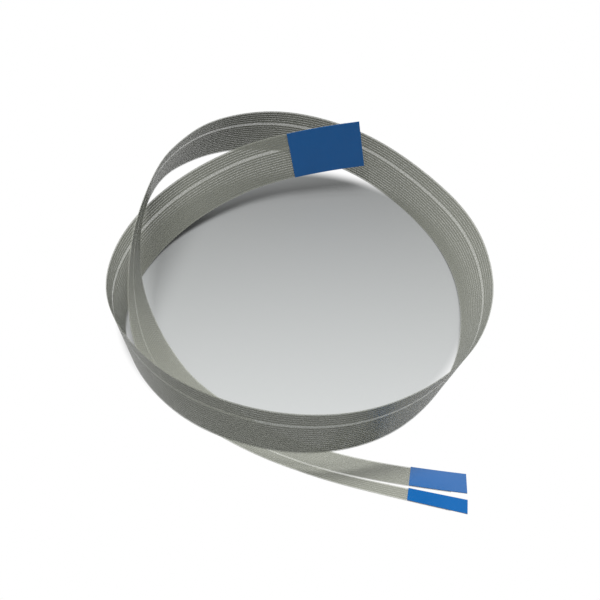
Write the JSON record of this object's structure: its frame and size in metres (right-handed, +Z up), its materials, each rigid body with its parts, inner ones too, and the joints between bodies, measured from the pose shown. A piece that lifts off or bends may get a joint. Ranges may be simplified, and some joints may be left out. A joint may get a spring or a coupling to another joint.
{
  "type": "flat flexible cable",
  "caption": "Long flat ribbon cable coiled into a loose standing ring, its flat conductors between two films, one end slit into a wide and a narrow tail, with blue stiffeners on the ends.",
  "frame": {"origin": "Middle of the outline in plan, at the height of the lowest edge, on the surface that the coil stands on.", "axes": "+Z is up, along the axis of the coil. +Y points from the slit tails in front to the back of the coil. +X points right, the way the tails point."},
  "size_m": [0.1358, 0.1751, 0.0384],
  "materials": {
    "film": "thin clear polyester over grey metal, slightly glossy",
    "conductor": "tin-plated flat copper",
    "stiffener": "blue polyester tape, slightly glossy"
  },
  "bodies": {
    "root": {"inner_film": "film", "outer_film": "film", "head_stiffener": "stiffener", "wide_tail_stiffener": "stiffener", "narrow_tail_stiffener": "stiffener", "conductor_n1": "conductor", "conductor_n2": "conductor", "conductor_n3": "conductor", "conductor_n4": "conductor", "conductor_n5": "conductor", "conductor_w1": "conductor", "conductor_w2": "conductor", "conductor_w3": "conductor", "conductor_w4": "conductor", "conductor_w5": "conductor", "conductor_w6": "conductor", "conductor_w7": "conductor", "conductor_w8": "conductor", "conductor_w9": "conductor", "conductor_w10": "conductor", "conductor_w11": "conductor", "conductor_w12": "conductor"}
  },
  "joints": []
}
